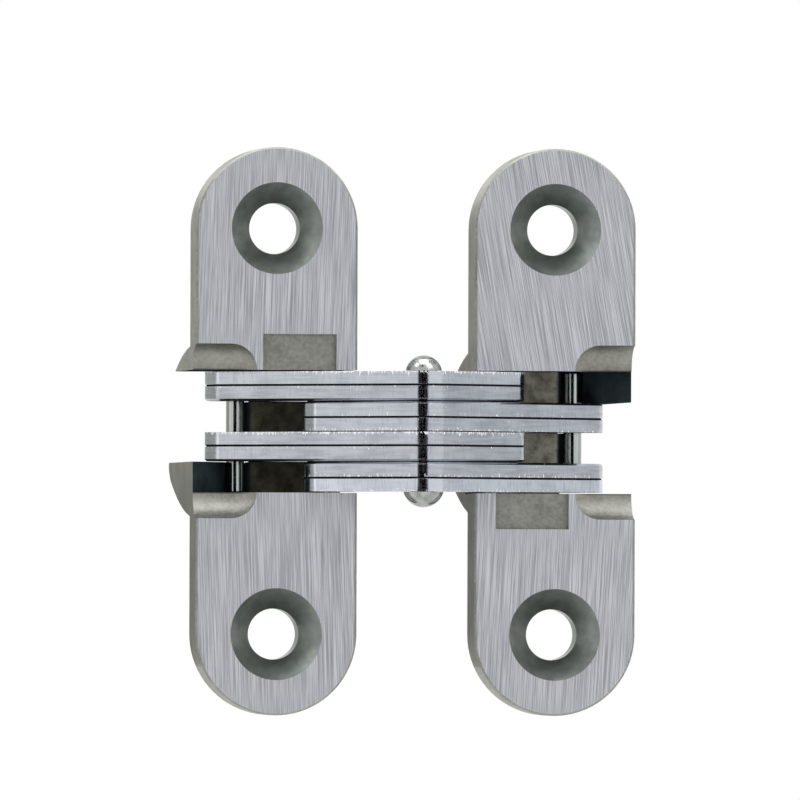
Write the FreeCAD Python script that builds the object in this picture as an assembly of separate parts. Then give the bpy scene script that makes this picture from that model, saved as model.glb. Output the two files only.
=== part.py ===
"""Concealed invisible door hinge, opened flat.

Two die-cast leaves are joined by a scissor of eight stamped link plates.
X runs from the jamb leaf to the door leaf, Y runs into the wood and Z runs up.
The pieces are drawn about the middle of the open hinge, with both faces in the
plane Y = 0: there the door leaf is the jamb leaf turned half a turn about Y,
and the same turn takes one set of links to the other. They are then set down
with the middle of the jamb leaf's screw pattern, on the back of its plate, at
the origin.
"""
import FreeCAD
import Part
import math
import os

Vector = FreeCAD.Vector

# Leaf face, the part that shows in the edge of the door and of the jamb
LEAF_WIDTH = 12.7
LEAF_HEIGHT = 44.45
LEAF_GAP = 9.3
PLATE_THICKNESS = 4.0
FACE_EDGE_BREAK = 0.14

# Flat-head wood screws, one near each end of a leaf
SCREW_SPACING = 31.75
SCREW_HOLE_DIAMETER = 4.0
COUNTERSINK_DIAMETER = 7.2
COUNTERSINK_ANGLE = 82.0

# Cast body behind the plate: flat at the back, with ends that bow out from there to the plate
BODY_DEPTH = 18.0
BODY_FLAT_HALF = 1.13
BODY_END_RISE = 5.7
BODY_BACK_ROUND = 3.0
BODY_INSET = 0.45

# Stack of link plates, in pairs, and the slot in the leaf that they fold into
LINK_THICKNESS = 1.137
PLATE_AIR = 0.01
PAIR_AIR = 0.084
PLATES_PER_PAIR = 2
PAIRS = 4
STACK_END_AIR = 0.065
WEB_AIR = 0.02

# Scissor: the centre rivet, the fixed pins and the slide pins, leaves open
RIVET_STANDOFF = 4.2
FIXED_PIN_X = 6.4
FIXED_PIN_DEPTH = 3.3
SLIDE_PIN_X = 13.4
SLIDE_PIN_DEPTH = 7.0
CLOSED_FACE_GAP = 1.6

# Pins and rivet
FIXED_PIN_DIAMETER = 1.3
FIXED_PIN_SEAT = 1.3
SLIDE_PIN_DIAMETER = 1.44
SLIDE_PIN_END_AIR = 0.02
RIVET_DIAMETER = 1.9
RIVET_TOP_HEAD_DIAMETER = 2.85
RIVET_BOTTOM_HEAD_DIAMETER = 3.15
RIVET_HEAD_HEIGHT = 1.2
RUNNING_CLEARANCE = 0.04
SLOT_CLEARANCE = 0.08

# Outline of a link plate
LUG_RADIUS = 2.2
SLIDE_END_RADIUS = 2.4
FIXED_END_RADIUS = 1.6
HEEL_X = 6.55
HEEL_DEPTH = 1.28
HEEL_RADIUS = 2.2
PIN_NOTCH_CLEARANCE = 0.14
PIN_NOTCH_TURN = 14.0
LINK_EDGE_BREAK = 0.16
ELBOW_ROUND = 1.0

# Inside the cast body
WEB_FRONT_DEPTH = 6.85
WEB_MOUTH_ROUND = 0.7
RIB_X = 7.35
RIB_FOOT_X = 5.75
RIB_BEND_DEPTH = 9.5
RIB_FOOT_DEPTH = 13.2
OUTER_WALL_DROP = 2.2
WALL_END_ROUND = 0.3
RAMP_BULGE = 0.5

# Hollows in the face
COVE_RADIUS = 2.03
COVE_X = 14.6
RECESS_NEAR_X = 6.3
RECESS_FAR_X = 12.1
RECESS_HEIGHT = 2.8
RECESS_DEPTH = 0.4

# How far a cutting shape reaches past what it cuts, and how the slide pin's way is followed
OVERCUT = 1.0
PATH_STEPS = 4
HEADING_STEP = 0.01
FULL_TURN = 360.0
HALF_TURN = 180.0
QUARTER_TURN = 90.0

pitch = LINK_THICKNESS + PLATE_AIR
pair_height = PLATES_PER_PAIR * pitch - PLATE_AIR + PAIR_AIR
stack_half = PAIRS * pair_height / 2
window_half = stack_half + STACK_END_AIR
inner_edge_x = LEAF_GAP / 2
outer_edge_x = inner_edge_x + LEAF_WIDTH
leaf_centre_x = inner_edge_x + LEAF_WIDTH / 2
body_half_height = BODY_FLAT_HALF + BODY_END_RISE
closed_standoff = CLOSED_FACE_GAP / 2

# Plan view, seen from above: each point is (x, y), with y growing with depth
rivet_open = (0.0, -RIVET_STANDOFF)
fixed_pin = (-FIXED_PIN_X, FIXED_PIN_DEPTH)
slide_pin_open = (-SLIDE_PIN_X, SLIDE_PIN_DEPTH)

# The rivet swings about the fixed pin of the jamb leaf until it stands midway
# between the closed faces, and the linkage is its own mirror image throughout
standoff_change = (closed_standoff + FIXED_PIN_DEPTH) ** 2 - (RIVET_STANDOFF + FIXED_PIN_DEPTH) ** 2
rivet_closed_x = -FIXED_PIN_X - math.sqrt(FIXED_PIN_X ** 2 - standoff_change)
rivet_closed = (rivet_closed_x, -closed_standoff)
short_arm = math.dist(rivet_open, fixed_pin)
long_arm = math.dist(rivet_open, slide_pin_open)
short_arm_swing = 2 * math.asin(math.dist(rivet_open, rivet_closed) / 2 / short_arm)
long_arm_swing = math.pi - short_arm_swing


def direction(start, end):
    """Angle of the line from one plan point to another."""
    return math.atan2(end[1] - start[1], end[0] - start[0])


def polar(centre, radius, angle):
    """Plan point at a radius and an angle from a centre."""
    return (centre[0] + radius * math.cos(angle), centre[1] + radius * math.sin(angle))


def rivet_at(closing):
    """Plan place of the rivet, with closing from 0 (open) to 1 (closed)."""
    return polar(fixed_pin, short_arm, direction(fixed_pin, rivet_open) - closing * short_arm_swing)


def slide_pin_at(closing):
    """Plan place of the slide pin in the jamb leaf, with closing from 0 to 1."""
    angle = direction(rivet_open, slide_pin_open) - closing * long_arm_swing
    return polar(rivet_at(closing), long_arm, angle)


def at(point, z=0.0):
    """Plan point as a vector at a height."""
    return Vector(point[0], point[1], z)


def box(x_low, x_high, y_low, y_high, z_low, z_high):
    """Rectangular block between two corners."""
    corner = Vector(x_low, y_low, z_low)
    return Part.makeBox(x_high - x_low, y_high - y_low, z_high - z_low, corner)


def cylinder_z(point, radius, z_low, z_high):
    """Cylinder that stands on a plan point."""
    return Part.makeCylinder(radius, z_high - z_low, at(point, z_low))


def prism(edges, z_low, z_high):
    """Solid between two heights, from the edges of its plan at height 0, in any order."""
    face = Part.Face(Part.Wire(Part.sortEdges(edges)[0]))
    face.translate(Vector(0, 0, z_low))
    return face.extrude(Vector(0, 0, z_high - z_low))


def lines(points):
    """Straight edges through plan points."""
    pairs = zip(points[:-1], points[1:])
    return [Part.LineSegment(at(start), at(end)).toShape() for start, end in pairs]


def arc(start, middle, end):
    """Arc through three plan points."""
    return Part.Arc(at(start), at(middle), at(end)).toShape()


def belt(circles):
    """Edges of a belt drawn tight round circles, given in order with y growing left of the way.

    Each circle is (plan point, radius). Straight runs touch two circles, and
    an arc follows each circle between its two runs.
    """
    count = len(circles)
    runs = []
    for index in range(count):
        start, start_radius = circles[index]
        end, end_radius = circles[(index + 1) % count]
        lean = math.asin((start_radius - end_radius) / math.dist(start, end))
        outward = direction(start, end) - math.pi / 2 + lean
        runs.append((polar(start, start_radius, outward), polar(end, end_radius, outward), outward))
    edges = []
    for index in range(count):
        centre, radius = circles[index]
        arrive = runs[index - 1]
        leave = runs[index]
        turn = (leave[2] - arrive[2]) % (2 * math.pi)
        edges.append(arc(arrive[1], polar(centre, radius, arrive[2] + turn / 2), leave[0]))
        edges.append(Part.LineSegment(at(leave[0]), at(leave[1])).toShape())
    return edges


def turned_over(shape):
    """Copy of a piece of the jamb side as its twin on the door side."""
    twin = shape.copy()
    twin.rotate(Vector(0, 0, 0), Vector(0, 1, 0), HALF_TURN)
    return twin


def slide_path_side(offset):
    """Two arcs along the slide pin's way, offset to the inner side of it, and their two ends.

    The arcs keep within 0.02 mm of the way.
    """
    points = []
    for step in range(PATH_STEPS + 1):
        closing = step / PATH_STEPS
        heading = direction(slide_pin_at(closing - HEADING_STEP), slide_pin_at(closing + HEADING_STEP))
        points.append(polar(slide_pin_at(closing), offset, heading - math.pi / 2))
    middle = PATH_STEPS // 2
    edges = [arc(*points[:middle + 1]), arc(*points[middle:])]
    return edges, points[0], points[-1]


def leaf_plate():
    """Plate with full-round ends, the edge of its face slightly broken."""
    end_radius = LEAF_WIDTH / 2
    end_z = LEAF_HEIGHT / 2 - end_radius
    plate = box(-outer_edge_x, -inner_edge_x, 0, PLATE_THICKNESS, -end_z, end_z)
    for z in (-end_z, end_z):
        centre = Vector(-leaf_centre_x, 0, z)
        plate = plate.fuse(Part.makeCylinder(end_radius, PLATE_THICKNESS, centre, Vector(0, 1, 0)))
    plate = plate.removeSplitter()
    front = [edge for edge in plate.Edges if edge.BoundBox.YMax < FACE_EDGE_BREAK / 2]
    return plate.makeChamfer(FACE_EDGE_BREAK, front)


def body_block():
    """Cast body behind the plate, as a prism along X.

    Each end of its section is a small arc at the back that runs on, with no
    corner, into a large one, which meets the plate square.
    """
    rise_left = BODY_END_RISE - BODY_BACK_ROUND
    depth_left = BODY_DEPTH - BODY_BACK_ROUND
    radius_step = (depth_left ** 2 + rise_left ** 2) / (2 * rise_left)
    side_radius = radius_step + BODY_BACK_ROUND

    # The section is drawn as a plan with its height along X, then stood up
    side_centre = (body_half_height - side_radius, 0)
    back_centre = (BODY_FLAT_HALF, depth_left)
    join = direction(side_centre, back_centre)
    square = math.pi / 2
    upper_arcs = [
        [polar(side_centre, side_radius, angle) for angle in (0, join / 2, join)],
        [polar(back_centre, BODY_BACK_ROUND, angle) for angle in (join, (join + square) / 2, square)],
    ]
    lower_arcs = [[(-height, depth) for height, depth in points] for points in upper_arcs]
    edges = [arc(*points) for points in upper_arcs + lower_arcs]
    edges += lines([upper_arcs[0][0], lower_arcs[0][0]])
    edges += lines([upper_arcs[1][-1], lower_arcs[1][-1]])
    block = prism(edges, inner_edge_x + BODY_INSET, outer_edge_x)
    block.rotate(Vector(0, 0, 0), Vector(0, 1, 0), -QUARTER_TURN)
    return block


def link_room():
    """What is cut from the casting so that the links fold into it."""
    far_x = -outer_edge_x - OVERCUT
    near_x = -inner_edge_x + OVERCUT
    deep = BODY_DEPTH + OVERCUT
    web_front = WEB_FRONT_DEPTH

    # In front of the webs the window is open from edge to edge, apart from
    # the outer wall beside the lowest pair, which drops to the slot in a ramp
    reach = SLIDE_PIN_DIAMETER / 2 + SLOT_CLEARANCE
    inner_edges, inner_mouth, inner_end = slide_path_side(reach)
    outer_edges, outer_mouth, outer_end = slide_path_side(-reach)
    window = box(far_x, near_x, -OVERCUT, web_front, -pair_height - WEB_AIR, window_half)
    ramp_top = (-outer_edge_x, OUTER_WALL_DROP)
    ramp_foot = (outer_mouth[0], web_front)
    ramp_middle = ((ramp_top[0] + ramp_foot[0]) / 2 + RAMP_BULGE,
                   (ramp_top[1] + ramp_foot[1]) / 2 + RAMP_BULGE)
    ramp_edges = lines([ramp_foot, (near_x, web_front), (near_x, -OVERCUT), (far_x, -OVERCUT),
                        (far_x, OUTER_WALL_DROP), ramp_top])
    ramp_edges.append(arc(ramp_top, ramp_middle, ramp_foot))
    ramp = prism(ramp_edges, -window_half, -pair_height)

    # The long arms fold through the back at the first and third pair
    rib_edges = lines([(far_x, -OVERCUT), (-RIB_X, -OVERCUT), (-RIB_X, RIB_BEND_DEPTH),
                       (-RIB_FOOT_X, RIB_FOOT_DEPTH), (-RIB_FOOT_X, deep), (far_x, deep),
                       (far_x, -OVERCUT)])
    long_arm_room = [prism(rib_edges, pair_height - WEB_AIR, window_half),
                     prism(rib_edges, -pair_height - WEB_AIR, WEB_AIR)]

    # The slide pin is guided on its inner side by the web of the second pair,
    # and on both sides by the web of the lowest pair
    inner_front = (inner_mouth[0], -OVERCUT)
    outer_front = (outer_mouth[0], -OVERCUT)
    end_heading = direction(slide_pin_at(1 - HEADING_STEP), slide_pin_at(1 + HEADING_STEP))
    slot_end = polar(slide_pin_at(1), reach, end_heading)
    slot_corner = polar(slide_pin_at(1), reach, end_heading - math.pi / 4)
    guide_edges = inner_edges + [arc(inner_end, slot_corner, slot_end)]
    guide_edges += lines([slot_end, (slot_end[0], deep), (far_x, deep), (far_x, -OVERCUT),
                          inner_front, inner_mouth])
    guide = prism(guide_edges, -WEB_AIR, pair_height)
    slot_edges = inner_edges + [arc(inner_end, slot_end, outer_end)] + outer_edges
    slot_edges += lines([outer_mouth, outer_front, inner_front, inner_mouth])
    slot = prism(slot_edges, -window_half, -pair_height)

    # The webs' front corners are rounded on the inner side of the slide pin
    corner = (inner_mouth[0], web_front)
    round_centre = (corner[0] + WEB_MOUTH_ROUND, web_front + WEB_MOUTH_ROUND)
    round_start = (corner[0], round_centre[1])
    round_middle = polar(round_centre, WEB_MOUTH_ROUND, direction(round_centre, corner))
    round_end = (round_centre[0], web_front)
    mouth_edges = lines([round_end, (round_end[0], 0), (corner[0] - reach, 0),
                         (corner[0] - reach, round_start[1]), round_start])
    mouth_edges.append(arc(round_start, round_middle, round_end))
    web_mouth = prism(mouth_edges, -window_half, pair_height)
    return [window, ramp, guide, slot, web_mouth] + long_arm_room


def screw_hole(z):
    """Countersunk through hole for a flat-head screw."""
    hole_radius = SCREW_HOLE_DIAMETER / 2
    sink_radius = COUNTERSINK_DIAMETER / 2
    half_angle = math.radians(COUNTERSINK_ANGLE / 2)
    sink_depth = (sink_radius - hole_radius) / math.tan(half_angle)
    into_wood = Vector(0, 1, 0)
    above = Vector(-leaf_centre_x, -OVERCUT, z)
    face = Vector(-leaf_centre_x, 0, z)
    hole = Part.makeCylinder(hole_radius, PLATE_THICKNESS + 2 * OVERCUT, above, into_wood)
    cone = Part.makeCone(sink_radius, hole_radius, sink_depth, face, into_wood)
    mouth = Part.makeCylinder(sink_radius, OVERCUT, above, into_wood)
    return hole.fuse([cone, mouth])


def cove(side):
    """Hollow that takes a rivet head when the leaves close: a ball end run out to the outer edge."""
    centre = Vector(-COVE_X, 0, side * window_half)
    run = outer_edge_x - COVE_X + OVERCUT
    groove = Part.makeCylinder(COVE_RADIUS, run, centre, Vector(-1, 0, 0))
    return groove.fuse(Part.makeSphere(COVE_RADIUS, centre))


def is_wall_end(edge):
    """True for the edge along X where the top of the lowest web meets the back of the body."""
    box_of = edge.BoundBox
    level = abs(box_of.ZMin + pair_height + WEB_AIR) < WEB_AIR and box_of.ZLength < WEB_AIR
    return level and box_of.YLength < WEB_AIR and box_of.YMin > RIB_BEND_DEPTH and box_of.XMin < -RIB_X


def leaf_casting():
    """Jamb leaf: plate and body as one casting, with all its hollows."""
    casting = leaf_plate().fuse(body_block()).removeSplitter()
    cuts = link_room()
    cuts += [screw_hole(side * SCREW_SPACING / 2) for side in (1, -1)]
    cuts += [cove(side) for side in (1, -1)]
    cuts.append(box(-RECESS_FAR_X, -RECESS_NEAR_X, -OVERCUT, RECESS_DEPTH,
                    window_half - OVERCUT, window_half + RECESS_HEIGHT))
    seat_half = window_half + FIXED_PIN_SEAT
    cuts.append(cylinder_z(fixed_pin, FIXED_PIN_DIAMETER / 2, -seat_half, seat_half))
    casting = casting.cut(cuts)
    return casting.makeFillet(WALL_END_ROUND, [edge for edge in casting.Edges if is_wall_end(edge)])


def link_plan():
    """Plan of a link that slides in the jamb leaf and turns on the door leaf's pin."""
    far_pin = (FIXED_PIN_X, FIXED_PIN_DEPTH)
    heel = (HEEL_X, HEEL_DEPTH)
    long_part = belt([(rivet_open, LUG_RADIUS), (slide_pin_open, SLIDE_END_RADIUS)])
    short_part = belt([(rivet_open, LUG_RADIUS), (heel, HEEL_RADIUS), (far_pin, FIXED_END_RADIUS)])
    return long_part, short_part


def pin_notch():
    """Plan of the way that the jamb leaf's fixed pin takes past a link of the first set."""
    reach = FIXED_PIN_DIAMETER / 2 + PIN_NOTCH_CLEARANCE
    start = direction(rivet_open, fixed_pin)
    end = start - math.radians(PIN_NOTCH_TURN)
    middle = (start + end) / 2
    far = short_arm + reach
    near = short_arm - reach
    return [
        arc(polar(rivet_open, near, end), polar(rivet_open, near, middle), polar(rivet_open, near, start)),
        arc(polar(rivet_open, near, start), polar(fixed_pin, reach, start + math.pi / 2),
            polar(rivet_open, far, start)),
        arc(polar(rivet_open, far, start), polar(rivet_open, far, middle), polar(rivet_open, far, end)),
        Part.LineSegment(at(polar(rivet_open, far, end)), at(polar(rivet_open, near, end))).toShape(),
    ]


def is_upright(edge):
    """True for a straight edge along Z."""
    return edge.BoundBox.ZLength > edge.Length / 2


def elbow_depth(edge):
    """How close an upright edge of a link is to the inside of its elbow."""
    return -math.dist((edge.CenterOfMass.x, edge.CenterOfMass.y), (0, LUG_RADIUS - RIVET_STANDOFF))


def link_plate(z_low, rivet_clearance):
    """One stamped link, scalloped where the jamb leaf's fixed pin stands beside it.

    The die rolls over the rim of its lower face and leaves the upper one sharp.
    """
    z_high = z_low + LINK_THICKNESS
    long_part, short_part = link_plan()
    plate = prism(long_part, z_low, z_high).fuse(prism(short_part, z_low, z_high)).removeSplitter()
    elbow = max((edge for edge in plate.Edges if is_upright(edge)), key=elbow_depth)
    plate = plate.makeFillet(ELBOW_ROUND, [elbow])
    rim = [edge for edge in plate.Edges if edge.BoundBox.ZMax < z_low + LINK_EDGE_BREAK]
    plate = plate.makeChamfer(LINK_EDGE_BREAK, rim)
    plate = plate.cut(prism(pin_notch(), z_low - OVERCUT, z_high + OVERCUT))
    holes = [
        (rivet_open, RIVET_DIAMETER / 2 + rivet_clearance),
        (slide_pin_open, SLIDE_PIN_DIAMETER / 2),
        ((FIXED_PIN_X, FIXED_PIN_DEPTH), FIXED_PIN_DIAMETER / 2 + RUNNING_CLEARANCE),
    ]
    cuts = [cylinder_z(place, radius, z_low - OVERCUT, z_high + OVERCUT) for place, radius in holes]
    return plate.cut(cuts)


def rivet_head(diameter, z, side):
    """Domed head: a cap of a sphere."""
    radius = diameter / 2
    crown = z + side * RIVET_HEAD_HEIGHT
    rim = Vector(radius, 0, z)
    sphere_radius = (radius ** 2 + RIVET_HEAD_HEIGHT ** 2) / (2 * RIVET_HEAD_HEIGHT)
    middle_x, middle_z = polar((0, crown - side * sphere_radius), sphere_radius, side * math.pi / 4)
    edges = [
        Part.LineSegment(Vector(0, 0, z), rim).toShape(),
        Part.Arc(rim, Vector(middle_x, 0, middle_z), Vector(0, 0, crown)).toShape(),
        Part.LineSegment(Vector(0, 0, crown), Vector(0, 0, z)).toShape(),
    ]
    face = Part.Face(Part.Wire(edges))
    return face.revolve(Vector(0, 0, 0), Vector(0, 0, 1), FULL_TURN)


def centre_rivet():
    """Rivet through all the links: a plain shank with a dome at each end."""
    shank = cylinder_z((0, 0), RIVET_DIAMETER / 2, -stack_half, stack_half)
    top = rivet_head(RIVET_TOP_HEAD_DIAMETER, stack_half, 1)
    bottom = rivet_head(RIVET_BOTTOM_HEAD_DIAMETER, -stack_half, -1)
    rivet = shank.fuse([top, bottom]).removeSplitter()
    rivet.translate(at(rivet_open))
    return rivet


def plate_bottom(index):
    """Height of the lower face of a plate, counted from the top of the stack."""
    pair_top = stack_half - (index // PLATES_PER_PAIR) * pair_height - PAIR_AIR / 2
    return pair_top - (index % PLATES_PER_PAIR) * pitch - LINK_THICKNESS


def build():
    """All pieces by name."""
    pieces = {}
    pieces["jamb_leaf"] = leaf_casting()
    pieces["door_leaf"] = turned_over(pieces["jamb_leaf"])

    plate_count = PAIRS * PLATES_PER_PAIR
    for index in range(plate_count):
        in_first_set = (index // PLATES_PER_PAIR) % 2 == 0
        if in_first_set:
            plate = link_plate(plate_bottom(index), RUNNING_CLEARANCE)
        else:
            plate = turned_over(link_plate(plate_bottom(plate_count - 1 - index), 0.0))
        set_name = "a" if in_first_set else "b"
        pieces["link_plate_%d%s" % (index + 1, set_name)] = plate

    pieces["centre_rivet"] = centre_rivet()
    seat_half = window_half + FIXED_PIN_SEAT
    pin = cylinder_z(fixed_pin, FIXED_PIN_DIAMETER / 2, -seat_half, seat_half)
    pieces["fixed_pin_jamb"] = pin
    pieces["fixed_pin_door"] = turned_over(pin)
    slide_half = stack_half - PAIR_AIR / 2 - SLIDE_PIN_END_AIR
    slide_pin = cylinder_z(slide_pin_open, SLIDE_PIN_DIAMETER / 2, -slide_half, slide_half)
    pieces["slide_pin_jamb"] = slide_pin
    pieces["slide_pin_door"] = turned_over(slide_pin)
    return pieces


def set_down(shape):
    """Piece moved so that the jamb leaf's screw pattern lies at the origin, on the back of its plate."""
    shape.translate(Vector(leaf_centre_x, -PLATE_THICKNESS, 0))
    return shape


def main():
    """Write one STEP file for each piece."""
    os.makedirs("parts", exist_ok=True)
    for name, drawn in build().items():
        shape = set_down(drawn)
        shape.exportStep("parts/%s.step" % name)
        print(name, "solids", len(shape.Solids), "valid", shape.isValid(), "volume %.2f" % shape.Volume)
    print("rivet closed at X %.3f" % rivet_closed[0])
    print("slide pin closed at X %.3f, depth %.3f" % slide_pin_at(1))
    print("short arm swing %.4f degrees" % math.degrees(short_arm_swing))


main()
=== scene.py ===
import bpy
import math
from mathutils import Matrix, Vector


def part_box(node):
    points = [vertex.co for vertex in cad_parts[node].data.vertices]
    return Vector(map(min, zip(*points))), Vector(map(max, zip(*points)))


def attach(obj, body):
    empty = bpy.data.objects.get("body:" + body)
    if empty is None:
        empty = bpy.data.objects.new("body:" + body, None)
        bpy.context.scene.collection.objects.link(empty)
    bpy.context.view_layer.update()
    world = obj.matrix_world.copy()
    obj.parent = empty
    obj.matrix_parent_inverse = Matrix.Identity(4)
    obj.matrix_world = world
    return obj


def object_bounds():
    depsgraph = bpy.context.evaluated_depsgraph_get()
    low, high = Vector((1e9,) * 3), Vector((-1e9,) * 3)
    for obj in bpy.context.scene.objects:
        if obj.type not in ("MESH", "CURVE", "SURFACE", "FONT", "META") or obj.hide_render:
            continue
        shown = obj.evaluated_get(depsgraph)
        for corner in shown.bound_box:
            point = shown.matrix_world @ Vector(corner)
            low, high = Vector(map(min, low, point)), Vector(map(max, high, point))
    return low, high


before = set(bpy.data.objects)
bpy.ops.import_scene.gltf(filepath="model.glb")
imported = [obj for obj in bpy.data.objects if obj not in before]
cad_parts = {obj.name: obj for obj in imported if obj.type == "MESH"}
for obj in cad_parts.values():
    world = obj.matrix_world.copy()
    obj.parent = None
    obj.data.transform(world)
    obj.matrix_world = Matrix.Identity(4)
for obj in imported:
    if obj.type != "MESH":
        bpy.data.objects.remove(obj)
cad_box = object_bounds()

# Leaf castings: the two halves of the hinge, each a flat face plate with a deep body behind it.
# Zinc alloy, pressure die cast in one piece. Only the face is linished and plated satin, and the
# countersinks are cut. Each is held in the wood by a flat-head screw near either end.
MM = 0.001
SCREW_SPACING = 31.75 * MM
COUNTERSINK_RADIUS = 3.6 * MM
WINDOW_HALF = 4.80 * MM
WINDOW_LIP = 2.3 * MM
WEB_DEPTH = 6.5 * MM
BODY_INSET = 0.45 * MM
FLANK_FROM = 1.3 * BODY_INSET
FLANK_FULL = 1.1 * BODY_INSET
FACE_SKIN = 0.12 * MM
BRUSH_LINE_WIDTH = 0.06 * MM
BRUSH_LINE_LENGTH = 7.0 * MM
BRUSH_LINE_RELIEF = 0.004 * MM
STREAK_WIDTH = 0.30 * MM
STREAK_LENGTH = 11.0 * MM
SCRATCH_WIDTH = 0.08 * MM
SCRATCH_LENGTH = 3.2 * MM
CAST_GRAIN = 0.32 * MM
CAST_GRAIN_RELIEF = 0.02 * MM
CAST_CLOUD = 2.4 * MM
CUT_MOTTLE = 0.9 * MM
STAIN = 1.1 * MM
WORN_EDGE = 0.16 * MM
WORN_PAST_EDGE = 0.02 * MM
SHADED_REACH = 4 * MM
TILT_BLEND = 1 * MM
STREAK_SHARE = 0.28
SCRATCH_SHARE = 0.6
WORN_SHARE = 0.8
CLOUD_SHARE = 0.5
SHADED_SHARE = 0.45
SHADE_WALL_ROUGHNESS = 0.85
BELT_SPREAD = 0.7

# Sockets of Map Range nodes: 1 and 2 hold the range that comes in, 3 and 4 the range that goes out
FACING_FRONT = {1: -0.80, 2: -0.97}
FACING_SIDE = {1: 0.80, 2: 0.95}
NOT_FACING_BACK = {1: 0.3, 2: 0.1}
FULL_NOISE = {1: 0.3, 2: 0.7}
MIDDLE_NOISE = {1: 0.35, 2: 0.65}
NARROW_NOISE = {1: 0.38, 2: 0.62}
CRISP_NOISE = {1: 0.42, 2: 0.58}
NOISE_PEAKS = {1: 0.60, 2: 0.70}
CAST_ROUGHNESS = {3: 0.50, 4: 0.64}
CUT_ROUGHNESS = {3: 0.33, 4: 0.38}
FACE_ROUGHNESS = {3: 0.44, 4: 0.54}


def linear(code):
    """Linear colour of an sRGB hex code."""
    parts = [int(code[start:start + 2], 16) / 255 for start in (1, 3, 5)]
    return [part / 12.92 if part <= 0.04045 else ((part + 0.055) / 1.055) ** 2.4 for part in parts] + [1.0]


def add(tree, kind, sockets, **settings):
    """Outputs of a new node, made with its settings and with its sockets set or linked."""
    made = tree.nodes.new("ShaderNode" + kind)
    for name, value in settings.items():
        setattr(made, name, value)
    for key, value in sockets.items():
        if isinstance(value, bpy.types.NodeSocket):
            tree.links.new(value, made.inputs[key])
        else:
            made.inputs[key].default_value = value
    return made.outputs


def finish_named(name):
    """New material with an empty node tree."""
    made = bpy.data.materials.new(name)
    made.use_nodes = True
    made.node_tree.nodes.clear()
    return made, made.node_tree


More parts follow.
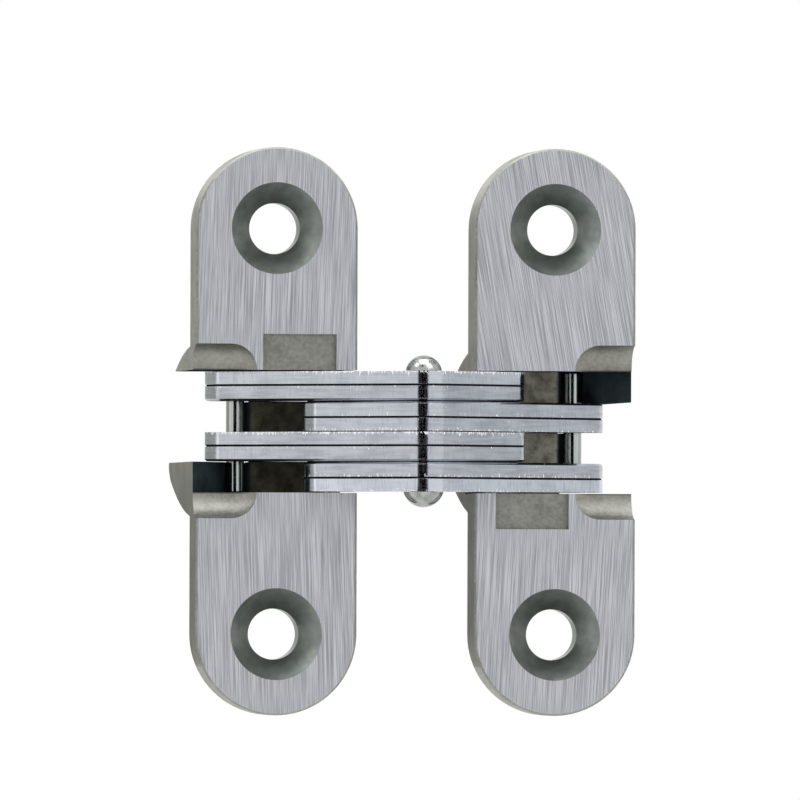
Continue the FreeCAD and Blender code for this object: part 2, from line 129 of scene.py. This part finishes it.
def satin_casting(leaf, upper_tilt, lower_tilt, web_dark, web_pale):
    """Brushed satin face, bare cast flanks, cut countersinks, and an inside painted dark as shade with
    stained webs, on one die casting.

    The linishing belt leaves long fine lines down the face, which spread each
    highlight sideways. The flanks and hollows stay as cast, dull and a little
    olive, and the flanks are painted darker towards the bottom as painted shade.
    The cutter leaves the countersinks smooth and dark. The walls that the links
    fold between are painted dark as painted shade, and made dull and not metal.
    The webs behind them get mottled stains, in tones painted paler on the door
    leaf as painted light and darker on the jamb leaf as painted shade.
    """
    low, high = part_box(leaf)
    half_width = (high.x - low.x) / 2
    made, tree = finish_named("satin_linished_zinc_" + leaf)
    coords = add(tree, "TexCoord", {})
    spot = add(tree, "SeparateXYZ", {0: coords["Object"]})
    facing = add(tree, "SeparateXYZ", {0: coords["Normal"]})
    depth = add(tree, "Math", {0: spot[1], 1: low.y}, operation="SUBTRACT")[0]
    across = add(tree, "Math", {0: spot[0], 1: (low.x + high.x) / 2}, operation="SUBTRACT")[0]
    sideways = add(tree, "Math", {0: across}, operation="ABSOLUTE")[0]
    height = add(tree, "Math", {0: spot[2]}, operation="ABSOLUTE")[0]
    from_screw = add(tree, "Math", {0: height, 1: SCREW_SPACING / 2}, operation="SUBTRACT")[0]
    from_axis = add(tree, "CombineXYZ", {0: across, 2: from_screw})[0]
    radius = add(tree, "VectorMath", {0: from_axis}, operation="LENGTH")["Value"]

    # Which part of the casting a spot is on, each from 0 to 1
    skin = add(tree, "MapRange", {0: depth, 1: FACE_SKIN, 2: FACE_SKIN / 4})[0]
    front = add(tree, "MapRange", {0: facing[1], **FACING_FRONT})[0]
    face = add(tree, "Math", {0: skin, 1: front}, operation="MULTIPLY")[0]
    cut = add(tree, "MapRange", {0: radius, 1: COUNTERSINK_RADIUS + FACE_SKIN / 2, 2: COUNTERSINK_RADIUS})[0]
    not_back = add(tree, "MapRange", {0: facing[1], **NOT_FACING_BACK})[0]
    cut = add(tree, "Math", {0: cut, 1: not_back}, operation="MULTIPLY")[0]
    sunk = add(tree, "MapRange", {0: depth, 1: WINDOW_LIP / 2, 2: WINDOW_LIP})[0]
    level = add(tree, "MapRange", {0: height, 1: WINDOW_HALF + FACE_SKIN, 2: WINDOW_HALF + FACE_SKIN / 2})[0]
    flank_face = add(tree, "Math", {0: facing[0]}, operation="ABSOLUTE")[0]
    flank_face = add(tree, "MapRange", {0: flank_face, **FACING_SIDE})[0]
    at_side = add(tree, "MapRange", {0: sideways, 1: half_width - FLANK_FROM,
                                     2: half_width - FLANK_FULL})[0]
    flank = add(tree, "Math", {0: flank_face, 1: at_side}, operation="MULTIPLY")[0]
    inside = add(tree, "Math", {0: sunk, 1: level}, operation="MULTIPLY")[0]
    inside = add(tree, "Math", {0: inside, 1: not_back}, operation="MULTIPLY")[0]
    inside = add(tree, "Mix", {0: flank, 2: inside, 3: 0.0})[0]
    web = add(tree, "MapRange", {0: depth, 1: WEB_DEPTH - FACE_SKIN, 2: WEB_DEPTH})[0]
    web = add(tree, "Math", {0: web, 1: front}, operation="MULTIPLY")[0]

    # Marks: belt lines, streaks and scratches down the face, and the grain and stains of the casting
    upper = add(tree, "MapRange", {0: spot[2], 1: -TILT_BLEND, 2: TILT_BLEND})[0]
    strokes = []
    for width, length in ((BRUSH_LINE_WIDTH, BRUSH_LINE_LENGTH), (STREAK_WIDTH, STREAK_LENGTH),
                          (SCRATCH_WIDTH, SCRATCH_LENGTH)):
        halves = []
        for tilt in (lower_tilt, upper_tilt):
            turned = add(tree, "Mapping", {0: coords["Object"], 2: (0, math.radians(tilt), 0),
                                           3: (width, MM, length)}, vector_type="TEXTURE")
            halves.append(add(tree, "TexNoise", {"Vector": turned[0], "Scale": 1.0, "Detail": 3.0,
                                                 "Roughness": 0.6})[0])
        strokes.append(add(tree, "Mix", {0: upper, 2: halves[0], 3: halves[1]})[0])
    line = add(tree, "MapRange", {0: strokes[0], **CRISP_NOISE})[0]
    streak = add(tree, "MapRange", {0: strokes[1], **NARROW_NOISE})[0]
    scratch = add(tree, "MapRange", {0: strokes[2], **NOISE_PEAKS})[0]
    grain = add(tree, "TexNoise", {"Vector": coords["Object"], "Scale": 1 / CAST_GRAIN, "Detail": 5.0,
                                   "Roughness": 0.6})[0]
    cloud = add(tree, "TexNoise", {"Vector": coords["Object"], "Scale": 1 / CAST_CLOUD, "Detail": 3.0,
                                   "Roughness": 0.55})[0]
    mottle = add(tree, "TexNoise", {"Vector": coords["Object"], "Scale": 1 / CUT_MOTTLE, "Detail": 4.0,
                                    "Roughness": 0.6})[0]
    stain = add(tree, "TexNoise", {"Vector": coords["Object"], "Scale": 1 / STAIN, "Detail": 4.0,
                                   "Roughness": 0.6})[0]
    grained = add(tree, "MapRange", {0: grain, **MIDDLE_NOISE})[0]
    clouded = add(tree, "MapRange", {0: cloud, **MIDDLE_NOISE})[0]
    mottled = add(tree, "MapRange", {0: mottle, **MIDDLE_NOISE})[0]
    stained = add(tree, "MapRange", {0: stain, **MIDDLE_NOISE})[0]

    satin = add(tree, "Mix", {0: line, 6: linear("#a6a9b0"), 7: linear("#eff1f6")}, data_type="RGBA")[2]
    streaky = add(tree, "Mix", {0: streak, 6: linear("#bdc0c6"), 7: linear("#dcdde5")}, data_type="RGBA")[2]
    satin = add(tree, "Mix", {0: STREAK_SHARE, 6: satin, 7: streaky}, data_type="RGBA")[2]
    worn = add(tree, "Math", {0: grain, 1: WORN_EDGE, 2: sideways}, operation="MULTIPLY_ADD")[0]
    worn = add(tree, "MapRange", {0: worn, 1: half_width - WORN_EDGE, 2: half_width + WORN_PAST_EDGE,
                                   4: WORN_SHARE})[0]
    scratch = add(tree, "Math", {0: scratch, 1: SCRATCH_SHARE}, operation="MULTIPLY")[0]
    satin = add(tree, "Mix", {0: scratch, 6: satin, 7: linear("#f1f2f4")}, data_type="RGBA")[2]
    satin = add(tree, "Mix", {0: worn, 6: satin, 7: linear("#77766b")}, data_type="RGBA")[2]
    bare = add(tree, "Mix", {0: grained, 6: linear("#868680"), 7: linear("#b8b8b1")}, data_type="RGBA")[2]
    cloudy = add(tree, "Mix", {0: clouded, 6: linear("#8f8f88"), 7: linear("#b1b1aa")}, data_type="RGBA")[2]
    bare = add(tree, "Mix", {0: CLOUD_SHARE, 6: bare, 7: cloudy}, data_type="RGBA")[2]
    bored = add(tree, "Mix", {0: mottled, 6: linear("#929895"), 7: linear("#a3a8a3")}, data_type="RGBA")[2]
    # Painted shade: the walls inside the window are painted dark blue-grey, in a cloudy mix of two tones
    wall = add(tree, "Mix", {0: clouded, 6: linear("#20272a"), 7: linear("#343d40")}, data_type="RGBA")[2]
    # The webs get mottled stains between their leaf's two tones, which are painted paler on the door leaf as
    # painted light and darker on the jamb leaf as painted shade
    web_skin = add(tree, "Mix", {0: stained, 6: linear(web_dark), 7: linear(web_pale)}, data_type="RGBA")[2]
    inner = add(tree, "Mix", {0: web, 6: wall, 7: web_skin}, data_type="RGBA")[2]
    # Painted shade: the flanks are painted darker towards the bottom, towards olive near-black
    shaded = add(tree, "MapRange", {0: spot[2], 1: -SHADED_REACH, 2: SHADED_REACH, 3: SHADED_SHARE,
                                     4: 0.0})[0]
    shaded = add(tree, "Math", {0: flank, 1: shaded}, operation="MULTIPLY")[0]
    bare = add(tree, "Mix", {0: shaded, 6: bare, 7: linear("#4a4a40")}, data_type="RGBA")[2]
    colour = add(tree, "Mix", {0: cut, 6: bare, 7: bored}, data_type="RGBA")[2]
    colour = add(tree, "Mix", {0: inside, 6: colour, 7: inner}, data_type="RGBA")[2]
    colour = add(tree, "Mix", {0: face, 6: colour, 7: satin}, data_type="RGBA")[2]

    cast_gloss = add(tree, "MapRange", {0: grain, **FULL_NOISE, **CAST_ROUGHNESS})[0]
    cut_gloss = add(tree, "MapRange", {0: mottle, **FULL_NOISE, **CUT_ROUGHNESS})[0]
    face_gloss = add(tree, "MapRange", {0: line, **FACE_ROUGHNESS})[0]
    gloss = add(tree, "Mix", {0: cut, 2: cast_gloss, 3: cut_gloss})[0]
    gloss = add(tree, "Mix", {0: face, 2: gloss, 3: face_gloss})[0]
    # Painted shade: the walls painted dark are also made dull and not metal, so they mirror nothing
    shade_walls = add(tree, "Mix", {0: web, 2: inside, 3: 0.0})[0]
    gloss = add(tree, "Mix", {0: shade_walls, 2: gloss, 3: SHADE_WALL_ROUGHNESS})[0]
    unshaded = add(tree, "Math", {0: 1.0, 1: shade_walls}, operation="SUBTRACT")[0]

    smooth = add(tree, "Math", {0: face, 1: cut}, operation="MAXIMUM")[0]
    rough_skin = add(tree, "Math", {0: 1.0, 1: smooth}, operation="SUBTRACT")[0]
    pitted = add(tree, "Bump", {"Strength": rough_skin, "Distance": CAST_GRAIN_RELIEF, "Height": grain})[0]
    lined = add(tree, "Bump", {"Strength": face, "Distance": BRUSH_LINE_RELIEF, "Height": line,
                               "Normal": pitted})[0]
    tangent = add(tree, "Tangent", {}, direction_type="RADIAL", axis="Z")[0]
    metal = add(tree, "BsdfPrincipled", {"Base Color": colour, "Metallic": unshaded, "Roughness": gloss,
                                         "Specular IOR Level": 0.0, "Anisotropic": BELT_SPREAD,
                                         "Normal": lined, "Tangent": tangent})
    add(tree, "OutputMaterial", {0: metal[0]})
    return made


# Each leaf's web tones: painted paler on the door leaf as painted light and darker on the jamb leaf as
# painted shade
for leaf, upper_tilt, lower_tilt, web_dark, web_pale in (
        ("jamb_leaf", 2.0, -2.0, "#45433a", "#6f6d5c"), ("door_leaf", -10.0, 3.0, "#88867a", "#c8c6ba")):
    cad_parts[leaf].data.materials[0] = satin_casting(leaf, upper_tilt, lower_tilt, web_dark, web_pale)

# Slot walls: inside each casting the slide pin's slot has a curved outer wall that closes it at the
# back. It is part of the same zinc casting, and its material paints it dark as painted shade.
SLOT_WALL_PLAN = ((-13.55, 10.45), (-13.33, 11.10), (-12.80, 12.12), (-12.07, 13.15), (-11.16, 14.18),
                  (-10.05, 15.15), (-8.74, 16.03), (-8.02, 16.13), (-7.45, 15.75), (-7.45, 17.70),
                  (-10.40, 17.70), (-12.60, 15.40), (-13.17, 13.10), (-13.50, 11.10))
SLOT_WALL_FOOT = -0.03
SLOT_WALL_HEAD = 2.398
SLOT_WALL_EDGE = 0.05 * MM
EDGE_SEGMENTS = 2

# Plans are drawn in mm from a point halfway between the leaves, in the plane of their faces
DRAWN_ORIGIN = (11.0, -4.0, 0.0)


def prism(name, plan, foot, head, side, finish, edge_width):
    """New piece on a plan, from foot to head. Side -1 gives it half a turn about the depth axis."""
    count = len(plan)
    turns = (side, 1, side)
    points = [tuple(MM * (start + turn * value) for start, turn, value in zip(DRAWN_ORIGIN, turns, (x, y, z)))
              for z in (foot, head) for x, y in plan]
    faces = [tuple(range(count)), tuple(range(count, 2 * count))]
    faces += [(i, (i + 1) % count, count + (i + 1) % count, count + i) for i in range(count)]
    mesh = bpy.data.meshes.new(name)
    mesh.from_pydata(points, [], faces)
    mesh.materials.append(finish)
    made = bpy.data.objects.new(name, mesh)
    bpy.context.scene.collection.objects.link(made)
    edge = made.modifiers.new("edge", "BEVEL")
    edge.width = edge_width
    edge.segments = EDGE_SEGMENTS
    return made


for name, leaf, side in (("slot_wall_jamb", "jamb_leaf", 1), ("slot_wall_door", "door_leaf", -1)):
    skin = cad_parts[leaf].data.materials[0]
    wall = prism(name, SLOT_WALL_PLAN, SLOT_WALL_FOOT, SLOT_WALL_HEAD, side, skin, SLOT_WALL_EDGE)
    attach(wall, leaf)

# Link plates: eight like stampings in four pairs, threaded on the centre rivet and on a pin at each end.
# Steel, blanked in a press and then plated bright, so the rims shine but keep the marks of the
# shear: fine lines through the thickness and a torn edge with pale flecks on the side that broke away.
SHEAR_LINE_WIDTH = 0.14 * MM
SHEAR_LINE_LENGTH = 1.6 * MM
SHEAR_LINE_RELIEF = 0.0022 * MM
TORN_EDGE = 0.40 * MM
FLECK = 0.17 * MM
FLECK_HEIGHT = 0.38 * MM
FLECK_RELIEF = 0.012 * MM
ROLL_LINE_WIDTH = 0.30 * MM
ROLL_LINE_RATIO = 10
PLATING_CLOUD = 2.6 * MM
RIM_FACING = {1: 0.95, 2: 0.80}
FLECK_PEAKS = {1: 0.72, 2: 0.77}
LINE_SHARE = {1: 0.50, 2: 0.70, 4: 0.45}
BAND_SHARE = {1: 0.40, 2: 0.60, 4: 0.35}
PLATING_ROUGHNESS = {3: 0.10, 4: 0.20}
FLECK_ROUGHNESS = 0.55
OUTER_FLAT_ROUGHNESS = 0.42
SHADED_FLAT_ROUGHNESS = 0.8


def plated_stamping(plate, torn_side, tear, darker, paler):
    """Bright plated blanking: a mirror marked by shear lines, with pale flecks along the torn edge.

    The flat sides that face other plates are painted nearly black and dull as painted shade, and
    only the two outermost stay bright. tear says how many flecks the edge has.
    """
    low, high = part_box(plate)
    made, tree = finish_named("bright_plated_stamped_steel_" + plate)
    coords = add(tree, "TexCoord", {})
    spot = add(tree, "SeparateXYZ", {0: coords["Object"]})
    facing = add(tree, "SeparateXYZ", {0: coords["Normal"]})
    flat = add(tree, "Math", {0: facing[2]}, operation="ABSOLUTE")[0]
    rim = add(tree, "MapRange", {0: flat, **RIM_FACING})[0]
    torn_height, inward = (high.z, -1) if torn_side == "top" else (low.z, 1)
    torn = add(tree, "MapRange", {0: spot[2], 1: torn_height + inward * TORN_EDGE, 2: torn_height})[0]

    along = add(tree, "Mapping", {0: coords["Object"],
                                  3: (SHEAR_LINE_WIDTH, SHEAR_LINE_WIDTH, SHEAR_LINE_LENGTH)},
                vector_type="TEXTURE")[0]
    shear = add(tree, "TexNoise", {"Vector": along, "Scale": 1.0, "Detail": 3.0, "Roughness": 0.55})[0]
    long_line = ROLL_LINE_RATIO * ROLL_LINE_WIDTH
    level = add(tree, "Mapping", {0: coords["Object"], 3: (long_line, long_line, ROLL_LINE_WIDTH)},
                vector_type="TEXTURE")[0]
    band = add(tree, "TexNoise", {"Vector": level, "Scale": 1.0, "Detail": 2.0, "Roughness": 0.5})[0]
    tall = add(tree, "Mapping", {0: coords["Object"], 3: (FLECK, FLECK, FLECK_HEIGHT)},
               vector_type="TEXTURE")[0]
    speck = add(tree, "TexNoise", {"Vector": tall, "Scale": 1.0, "Detail": 2.0, "Roughness": 0.6})[0]
    cloud = add(tree, "TexNoise", {"Vector": coords["Object"], "Scale": 1 / PLATING_CLOUD, "Detail": 3.0,
                                   "Roughness": 0.5})[0]
    ragged = add(tree, "Math", {0: torn, 1: tear, 2: speck}, operation="MULTIPLY_ADD")[0]
    fleck = add(tree, "MapRange", {0: ragged, **FLECK_PEAKS})[0]
    fleck = add(tree, "Math", {0: fleck, 1: rim}, operation="MULTIPLY")[0]
    pale = add(tree, "MapRange", {0: cloud, **NARROW_NOISE})[0]
    lined = add(tree, "MapRange", {0: shear, **LINE_SHARE})[0]
    banded = add(tree, "MapRange", {0: band, **BAND_SHARE})[0]
    shade_mottle = add(tree, "MapRange", {0: speck, **MIDDLE_NOISE})[0]

    plating = add(tree, "Mix", {0: pale, 6: linear(darker), 7: linear(paler)}, data_type="RGBA")[2]
    plating = add(tree, "Mix", {0: lined, 6: plating, 7: linear("#999da3")}, data_type="RGBA")[2]
    plating = add(tree, "Mix", {0: banded, 6: plating, 7: linear("#cfd3da")}, data_type="RGBA")[2]
    plating = add(tree, "Mix", {0: fleck, 6: plating, 7: linear("#f6f7fa")}, data_type="RGBA")[2]
    # Painted shade: the flats that face other plates are painted nearly black in a mottle of two tones, and
    # made dull and not metal; the two outermost flats stay bright
    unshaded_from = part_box("link_plate_1a")[1].z - TORN_EDGE
    height = add(tree, "Math", {0: spot[2]}, operation="ABSOLUTE")[0]
    covered = add(tree, "MapRange", {0: height, 1: unshaded_from + TORN_EDGE / 2, 2: unshaded_from})[0]
    shaded_flat = add(tree, "Math", {0: 1.0, 1: rim}, operation="SUBTRACT")[0]
    shaded_flat = add(tree, "Math", {0: shaded_flat, 1: covered}, operation="MULTIPLY")[0]
    film = add(tree, "Mix", {0: shade_mottle, 6: linear("#2b2c2d"), 7: linear("#404244")}, data_type="RGBA")[2]
    colour = add(tree, "Mix", {0: shaded_flat, 6: plating, 7: film}, data_type="RGBA")[2]
    gloss = add(tree, "MapRange", {0: shear, **FULL_NOISE, **PLATING_ROUGHNESS})[0]
    gloss = add(tree, "Mix", {0: fleck, 2: gloss, 3: FLECK_ROUGHNESS})[0]
    gloss = add(tree, "Mix", {0: rim, 2: OUTER_FLAT_ROUGHNESS, 3: gloss})[0]
    gloss = add(tree, "Mix", {0: shaded_flat, 2: gloss, 3: SHADED_FLAT_ROUGHNESS})[0]
    unshaded = add(tree, "Math", {0: 1.0, 1: shaded_flat}, operation="SUBTRACT")[0]
    sheared = add(tree, "Bump", {"Strength": rim, "Distance": SHEAR_LINE_RELIEF, "Height": shear})[0]
    chipped = add(tree, "Bump", {"Strength": torn, "Distance": FLECK_RELIEF, "Height": speck,
                                 "Normal": sheared})[0]
    metal = add(tree, "BsdfPrincipled", {"Base Color": colour, "Metallic": unshaded, "Roughness": gloss,
                                         "Specular IOR Level": 0.0, "Normal": chipped})
    add(tree, "OutputMaterial", {0: metal[0]})
    return made


for plate, torn_side, tear, darker, paler in (
        ("1a", "top", 0.27, "#b3b7be", "#c3c7ce"), ("2a", "top", 0.10, "#a5a9af", "#b5b9bf"),
        ("3b", "bottom", 0.09, "#a9adb4", "#bbbfc6"), ("4b", "bottom", 0.17, "#abafb6", "#bbbfc6"),
        ("5a", "top", 0.27, "#a5a9af", "#b9bdc3"), ("6a", "top", 0.09, "#a7abb1", "#bbbfc5"),
        ("7b", "bottom", 0.18, "#a7abb1", "#b9bdc3"), ("8b", "bottom", 0.16, "#bcc0c8", "#d0d4dd")):
    name = "link_plate_" + plate
    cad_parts[name].data.materials[0] = plated_stamping(name, torn_side, tear, darker, paler)

# Shade films: thin dark sheets in the gaps, between the pairs of plates, on the edges of the casting's
# walls and on the floor of the window, put there as painted shade. Each clings to one part and leaves
# its neighbour free to pass.
FILM_CLOUD = 0.5 * MM
BETWEEN_PAIRS = ((-8.0, -0.11), (-1.0, -5.83), (1.0, -5.84), (8.0, 0.03), (8.0, 1.0), (1.3, -5.0),
                 (0.6, -5.3), (-0.6, -5.3), (-1.3, -5.0), (-8.0, 0.9))
JAMB_WALL_EDGE = ((-12.20, 6.95), (-12.10, 6.88), (-6.10, 6.88), (-6.00, 6.95), (-6.00, 8.30),
                  (-12.20, 8.30))
DOOR_WALL_EDGE = tuple((-x, y) for x, y in JAMB_WALL_EDGE)
WINDOW_FLOOR = ((4.80, 4.40), (4.90, 4.30), (11.90, 4.30), (12.00, 4.40), (12.00, 6.40), (4.80, 6.40))
FILM_EDGE = 0.008 * MM
FILM_ROUGHNESS = {3: 0.55, 4: 0.75}

# The films are painted nearly black as painted shade, and too dull to mirror anything
shade_paint, tree = finish_named("painted_shade_film")
coords = add(tree, "TexCoord", {})
film_cloud = add(tree, "TexNoise", {"Vector": coords["Object"], "Scale": 1 / FILM_CLOUD, "Detail": 3.0,
                              "Roughness": 0.6})[0]
film_clouded = add(tree, "MapRange", {0: film_cloud, **MIDDLE_NOISE})[0]
dark = add(tree, "Mix", {0: film_clouded, 6: linear("#141412"), 7: linear("#2a2923")}, data_type="RGBA")[2]
film_gloss = add(tree, "MapRange", {0: film_cloud, **FULL_NOISE, **FILM_ROUGHNESS})[0]
shade_bsdf = add(tree, "BsdfPrincipled", {"Base Color": dark, "Metallic": 0.0, "Roughness": film_gloss,
                                     "Specular IOR Level": 0.0})
add(tree, "OutputMaterial", {0: shade_bsdf[0]})

for name, body, slot, plan, foot, head in (
        ("shade_film_2a", "link_set_a", "link_plate", BETWEEN_PAIRS, 2.336, 2.412),
        ("shade_film_5a", "link_set_a", "link_plate", BETWEEN_PAIRS, -0.044, 0.032),
        ("shade_film_6a", "link_set_a", "link_plate", BETWEEN_PAIRS, -2.400, -2.324),
        ("shade_film_jamb_upper", "jamb_leaf", "cast_leaf", JAMB_WALL_EDGE, 2.340, 2.402),
        ("shade_film_jamb_lower", "jamb_leaf", "cast_leaf", JAMB_WALL_EDGE, -2.396, -2.334),
        ("shade_film_door_middle", "door_leaf", "cast_leaf", DOOR_WALL_EDGE, -0.028, 0.034),
        ("shade_film_door_floor", "door_leaf", "cast_leaf", WINDOW_FLOOR, -4.820, -4.707)):
    film = prism(name, plan, foot, head, 1, shade_paint, FILM_EDGE)
    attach(film, body)

# Centre rivet: the one pin that both sets of links turn on. Steel, plated bright before it was
# set, with a polished dome spun up at each end.
HAMMER_MARK = 0.7 * MM
HAMMER_RELIEF = 0.010 * MM
DOME_ROUGHNESS = {3: 0.10, 4: 0.20}


def polished_rivet():
    """Mirror dome, softly uneven where the setting tool pressed it."""
    made, tree = finish_named("polished_plated_steel_rivet")
    coords = add(tree, "TexCoord", {})
    mark = add(tree, "TexNoise", {"Vector": coords["Object"], "Scale": 1 / HAMMER_MARK, "Detail": 2.0,
                                  "Roughness": 0.5})[0]
    marked = add(tree, "MapRange", {0: mark, **MIDDLE_NOISE})[0]
    colour = add(tree, "Mix", {0: marked, 6: linear("#8f918c"), 7: linear("#b0b2b2")}, data_type="RGBA")[2]
    gloss = add(tree, "MapRange", {0: mark, **MIDDLE_NOISE, **DOME_ROUGHNESS})[0]
    uneven = add(tree, "Bump", {"Strength": 1.0, "Distance": HAMMER_RELIEF, "Height": mark})[0]
    metal = add(tree, "BsdfPrincipled", {"Base Color": colour, "Metallic": 1.0, "Roughness": gloss,
                                         "Normal": uneven})
    add(tree, "OutputMaterial", {0: metal[0]})
    return made


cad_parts["centre_rivet"].data.materials[0] = polished_rivet()

# Pins: a fixed pin pressed into each leaf near the gap, and a slide pin through each set of links,
# which runs in the leaf's slot. Steel wire, drawn, cut to length and left bright.
DRAWN_LINE_WIDTH = 0.06 * MM
DRAWN_LINE_LENGTH = 4.0 * MM
DRAWN_LINE_RELIEF = 0.0008 * MM
WIRE_ROUGHNESS = {3: 0.10, 4: 0.18}


def drawn_wire():
    """Bright drawn steel: a mirror with faint lines along the wire.

    The die's real lines are finer. They are drawn as coarse as it takes to show.
    """
    made, tree = finish_named("bright_drawn_steel_pin")
    coords = add(tree, "TexCoord", {})
    along = add(tree, "Mapping", {0: coords["Object"],
                                  3: (DRAWN_LINE_WIDTH, DRAWN_LINE_WIDTH, DRAWN_LINE_LENGTH)},
                vector_type="TEXTURE")[0]
    line = add(tree, "TexNoise", {"Vector": along, "Scale": 1.0, "Detail": 3.0, "Roughness": 0.6})[0]
    lined = add(tree, "MapRange", {0: line, **MIDDLE_NOISE})[0]
    colour = add(tree, "Mix", {0: lined, 6: linear("#a3aaa6"), 7: linear("#bcc4c0")}, data_type="RGBA")[2]
    gloss = add(tree, "MapRange", {0: line, **FULL_NOISE, **WIRE_ROUGHNESS})[0]
    drawn = add(tree, "Bump", {"Strength": 1.0, "Distance": DRAWN_LINE_RELIEF, "Height": line})[0]
    metal = add(tree, "BsdfPrincipled", {"Base Color": colour, "Metallic": 1.0, "Roughness": gloss,
                                         "Normal": drawn})
    add(tree, "OutputMaterial", {0: metal[0]})
    return made


wire = drawn_wire()
for name in ("fixed_pin_jamb", "fixed_pin_door", "slide_pin_jamb", "slide_pin_door"):
    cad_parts[name].data.materials[0] = wire

# Floor: a plain pale table, matt painted, that stands well below the hinge. It is out of the
# photograph's view and sends soft light back up.
FLOOR_HALF = 1.6
FLOOR_DROP = 0.15
middle = (cad_box[0] + cad_box[1]) / 2


def card(name, corners, paint):
    """Flat four-sided card of the studio, which isn't part of the hinge."""
    mesh = bpy.data.meshes.new(name)
    mesh.from_pydata([tuple(corner) for corner in corners], [], [(0, 1, 2, 3)])
    mesh.materials.append(paint)
    made = bpy.data.objects.new(name, mesh)
    bpy.context.scene.collection.objects.link(made)
    return made


# Matt paint scatters the light evenly and mirrors nothing
floor_paint, tree = finish_named("pale_matt_floor_paint")
coat = add(tree, "BsdfDiffuse", {"Color": linear("#f0f0ee")})
add(tree, "OutputMaterial", {0: coat[0]})
floor_z = cad_box[0].z - FLOOR_DROP
floor_corners = [Vector((middle.x + x, middle.y + y, floor_z))
                 for x, y in ((-FLOOR_HALF, -FLOOR_HALF), (FLOOR_HALF, -FLOOR_HALF),
                              (FLOOR_HALF, FLOOR_HALF), (-FLOOR_HALF, FLOOR_HALF))]
card("floor", floor_corners, floor_paint)

# Studio: white surroundings, three soft boxes above, and cards that bright metal needs to read as
# metal: black before the camera and higher up, grey at each side, and a narrow white one on the left.
# The cards show only in reflections.
CARD_DISTANCE = 0.9
FILL_STRENGTH = 0.8
WHITE_STRENGTH = 1.0


def bearing(azimuth, elevation):
    """Direction away from the hinge, with azimuth 0 in front of it and 90 on its right."""
    turn, rise = math.radians(azimuth), math.radians(elevation)
    return Vector((math.sin(turn) * math.cos(rise), -math.cos(turn) * math.cos(rise), math.sin(rise)))


for name, left, right, foot, head, code, strength in (
        ("black_card_front", -31.0, 10.0, -12.0, 13.0, "#050505", 1.0),
        ("black_card_upper", -27.0, -12.0, 44.0, 57.0, "#141414", 1.0),
        ("grey_card_right", 76.0, 116.0, -14.0, 14.0, "#e4e6e7", 1.0),
        ("white_card_left", -78.0, -84.0, -14.0, 14.0, "#ffffff", 1.5),
        ("grey_card_left", -85.0, -165.0, -14.0, 14.0, "#bec0bb", 1.0)):
    corners = [middle + bearing(azimuth, elevation) * CARD_DISTANCE
               for azimuth, elevation in ((left, foot), (right, foot), (right, head), (left, head))]
    card_paint, tree = finish_named(name + "_paint")
    glow = add(tree, "Emission", {"Color": linear(code), "Strength": strength})
    add(tree, "OutputMaterial", {0: glow[0]})
    hung = card(name, corners, card_paint)
    hung.visible_camera = False
    hung.visible_diffuse = False
    hung.visible_shadow = False
    hung.visible_transmission = False

for name, azimuth, elevation, distance, size, brightness in (
        ("top_soft_box", 0.0, 82.0, 0.7, 0.55, 2.3),
        ("left_soft_box", -72.0, 50.0, 0.8, 0.30, 3.0),
        ("right_soft_box", 42.0, 48.0, 0.8, 0.45, 1.7)):
    lamp = bpy.data.lights.new(name, "AREA")
    lamp.size = size
    lamp.energy = brightness * math.pi * size ** 2
    hung = bpy.data.objects.new(name, lamp)
    hung.location = middle + bearing(azimuth, elevation) * distance
    hung.rotation_euler = (middle - hung.location).to_track_quat("-Z", "Y").to_euler()
    hung.visible_camera = False
    bpy.context.scene.collection.objects.link(hung)

# Matt surfaces get a little less light from the surroundings than the camera and the metal see
world = bpy.data.worlds.new("white_studio")
world.use_nodes = True
tree = world.node_tree
tree.nodes.clear()
ray = add(tree, "LightPath", {})
seen = add(tree, "Math", {0: ray["Is Camera Ray"], 1: ray["Is Glossy Ray"]}, operation="MAXIMUM")[0]
seen = add(tree, "Math", {0: seen, 1: ray["Is Transmission Ray"]}, operation="MAXIMUM")[0]
fill = add(tree, "Background", {0: linear("#ffffff"), 1: FILL_STRENGTH})[0]
white = add(tree, "Background", {0: linear("#ffffff"), 1: WHITE_STRENGTH})[0]
shown = add(tree, "MixShader", {0: seen, 1: fill, 2: white})[0]
add(tree, "OutputWorld", {0: shown})
bpy.context.scene.world = world

# Camera: the photograph's view, taken with a very long lens from 8 degrees to the left of straight
# ahead and from slightly below. Its place and turn were fitted to edges that the photograph shows.
CAMERA_AZIMUTH = -7.8146
CAMERA_ELEVATION = -0.6462
CAMERA_ROLL = 0.1891
CAMERA_DISTANCE = 1.24993
FOCAL_PIXELS = 15969.68
FRAME_PIXELS = 800
SENSOR_WIDTH = 36.0
target = Vector((9.7142 * MM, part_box("jamb_leaf")[0].y, 2.4785 * MM))

back = bearing(CAMERA_AZIMUTH, CAMERA_ELEVATION)
right = (-back).cross(Vector((0, 0, 1))).normalized()
up = right.cross(-back)
roll = math.radians(CAMERA_ROLL)
rolled_right = right * math.cos(roll) + up * math.sin(roll)
rolled_up = up * math.cos(roll) - right * math.sin(roll)
lens = bpy.data.cameras.new("long_lens")
lens.sensor_width = SENSOR_WIDTH
lens.lens = FOCAL_PIXELS / FRAME_PIXELS * SENSOR_WIDTH
lens.clip_start = 0.1
lens.clip_end = 20.0
camera = bpy.data.objects.new("camera", lens)
pose = Matrix((rolled_right, rolled_up, back)).transposed().to_4x4()
pose.translation = target + back * CAMERA_DISTANCE
camera.matrix_world = pose
bpy.context.scene.collection.objects.link(camera)
bpy.context.scene.camera = camera
bpy.context.scene.view_settings.view_transform = "Standard"
